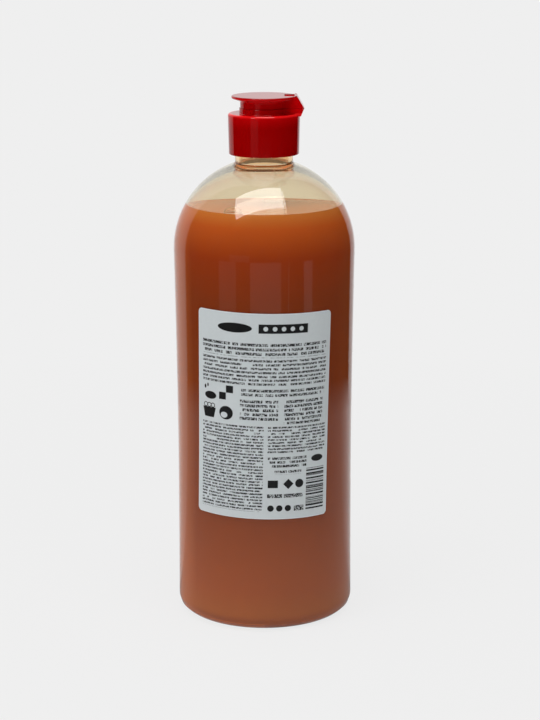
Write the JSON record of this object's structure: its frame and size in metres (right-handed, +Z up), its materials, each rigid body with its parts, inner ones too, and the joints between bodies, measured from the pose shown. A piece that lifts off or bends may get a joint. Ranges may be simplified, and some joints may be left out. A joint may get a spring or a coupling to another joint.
{
  "type": "liquid soap bottle",
  "caption": "Round clear bottle with a domed shoulder, filled with brown liquid soap, with a wrap label on its front and a screw-on closure with a flip lid.",
  "frame": {"origin": "centre of the base, on the surface that the bottle stands on", "axes": "+Z up along the bottle's axis; the label faces -Y; the lid's hinge is on the +X side"},
  "size_m": [0.0794, 0.0794, 0.2314],
  "materials": {
    "clear_plastic": "clear, glossy, faintly warm",
    "soap": "translucent brown liquid",
    "label_film": "satin pale grey film with dark print",
    "closure_plastic": "glossy deep red"
  },
  "bodies": {
    "bottle": {"bottle": "clear_plastic", "soap": "soap", "label": "label_film"},
    "closure": {"closure_base": "closure_plastic"},
    "lid": {"flip_lid": "closure_plastic"}
  },
  "joints": [
    {"name": "closure_turn", "type": "hinge", "parent": "bottle", "child": "closure", "pos_m": [0, 0, 0.2142], "axis": [0, 0, 1], "range_deg": [0, 540]},
    {"name": "lid_flip", "type": "hinge", "parent": "closure", "child": "lid", "pos_m": [0.01715, 0, 0.2259], "axis": [0, 1, 0], "range_deg": [0, 170]}
  ]
}
